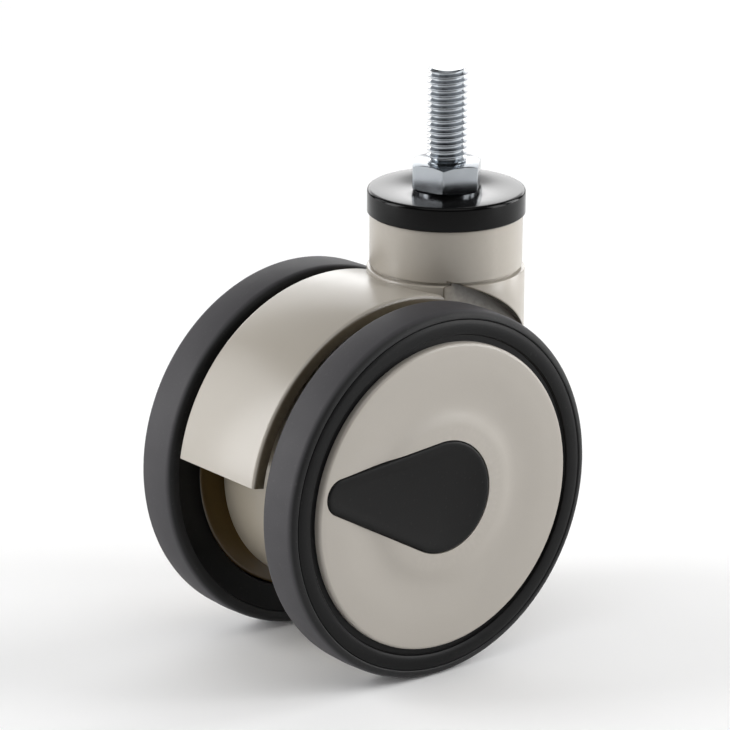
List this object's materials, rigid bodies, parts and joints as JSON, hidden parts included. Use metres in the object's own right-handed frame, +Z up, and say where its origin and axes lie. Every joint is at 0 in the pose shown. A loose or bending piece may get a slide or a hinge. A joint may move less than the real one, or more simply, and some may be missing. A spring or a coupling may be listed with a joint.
{
  "type": "chair caster wheel",
  "caption": "Swivel caster for a chair: threaded stem, ball-bearing swivel head, and paired wheels with light hub covers either side of a moulded housing with a mudguard.",
  "frame": {"origin": "on the swivel axis, at the top face of the stem's hexagon, which seats against the chair base", "axes": "+Z up along the threaded stem; +Y along the wheel axle towards the left wheel; the wheels trail towards -X"},
  "size_m": [0.075, 0.0508, 0.116],
  "materials": {
    "zinc_steel": "bright zinc plating over rolled thread and hexagon",
    "housing_beige": "satin moulded nylon, warm light grey",
    "cap_black": "glossy black moulded plastic",
    "tread_grey": "smooth dark grey polyurethane tread",
    "rim_black": "fine satin black plastic",
    "disc_beige": "satin moulded plastic, warm light grey",
    "teardrop_black": "satin black plastic",
    "shield_brown": "glossy very dark brown plastic",
    "spring_steel": "oiled dark spring steel",
    "cage_nylon": "natural nylon",
    "shield_steel": "pressed bright steel",
    "turned_steel": "turned bright steel",
    "bearing_steel": "ground bearing steel"
  },
  "bodies": {
    "stem": {"threaded_stem": "zinc_steel", "swivel_upper_inner_ring": "bearing_steel", "swivel_lower_inner_ring": "bearing_steel", "swivel_inner_spacer": "turned_steel", "stem_snap_ring": "spring_steel"},
    "swivel_balls": {"swivel_upper_balls": "bearing_steel", "swivel_upper_cage": "cage_nylon", "swivel_lower_balls": "bearing_steel", "swivel_lower_cage": "cage_nylon"},
    "swivel": {"housing": "housing_beige", "top_cap": "cap_black", "head_snap_ring": "spring_steel", "swivel_upper_outer_ring": "bearing_steel", "swivel_lower_outer_ring": "bearing_steel", "swivel_upper_shields": "shield_steel", "swivel_lower_shields": "shield_steel", "swivel_outer_spacer": "turned_steel", "axle": "turned_steel", "left_axle_spacer": "turned_steel", "left_bearing_inner_ring": "bearing_steel", "left_axle_snap_ring": "spring_steel", "right_axle_spacer": "turned_steel", "right_bearing_inner_ring": "bearing_steel", "right_axle_snap_ring": "spring_steel"},
    "left_balls": {"left_bearing_balls": "bearing_steel", "left_bearing_cage": "cage_nylon"},
    "left_wheel": {"left_tyre": "tread_grey", "left_rim": "rim_black", "left_cover_disc": "disc_beige", "left_teardrop_cap": "teardrop_black", "left_dust_shield": "shield_brown", "left_hub_snap_ring": "spring_steel", "left_bearing_outer_ring": "bearing_steel", "left_bearing_shields": "shield_steel"},
    "right_balls": {"right_bearing_balls": "bearing_steel", "right_bearing_cage": "cage_nylon"},
    "right_wheel": {"right_tyre": "tread_grey", "right_rim": "rim_black", "right_cover_disc": "disc_beige", "right_teardrop_cap": "teardrop_black", "right_dust_shield": "shield_brown", "right_hub_snap_ring": "spring_steel", "right_bearing_outer_ring": "bearing_steel", "right_bearing_shields": "shield_steel"}
  },
  "joints": [
    {"name": "swivel_spin", "type": "hinge", "parent": "stem", "child": "swivel", "pos_m": [0, 0, 0], "axis": [0, 0, 1], "continuous": true},
    {"name": "swivel_cage_spin", "type": "hinge", "parent": "stem", "child": "swivel_balls", "pos_m": [0, 0, 0], "axis": [0, 0, 1], "continuous": true},
    {"name": "left_wheel_spin", "type": "hinge", "parent": "swivel", "child": "left_wheel", "pos_m": [-0.02075, 0, -0.05945], "axis": [0, 1, 0], "continuous": true},
    {"name": "left_cage_spin", "type": "hinge", "parent": "swivel", "child": "left_balls", "pos_m": [-0.02075, 0, -0.05945], "axis": [0, 1, 0], "continuous": true},
    {"name": "right_wheel_spin", "type": "hinge", "parent": "swivel", "child": "right_wheel", "pos_m": [-0.02075, 0, -0.05945], "axis": [0, 1, 0], "continuous": true},
    {"name": "right_cage_spin", "type": "hinge", "parent": "swivel", "child": "right_balls", "pos_m": [-0.02075, 0, -0.05945], "axis": [0, 1, 0], "continuous": true}
  ],
  "couplings": [
    {"joint": "swivel_cage_spin", "follows": "swivel_spin", "ratio": 0.632},
    {"joint": "left_cage_spin", "follows": "left_wheel_spin", "ratio": 0.632},
    {"joint": "right_cage_spin", "follows": "right_wheel_spin", "ratio": 0.632}
  ]
}
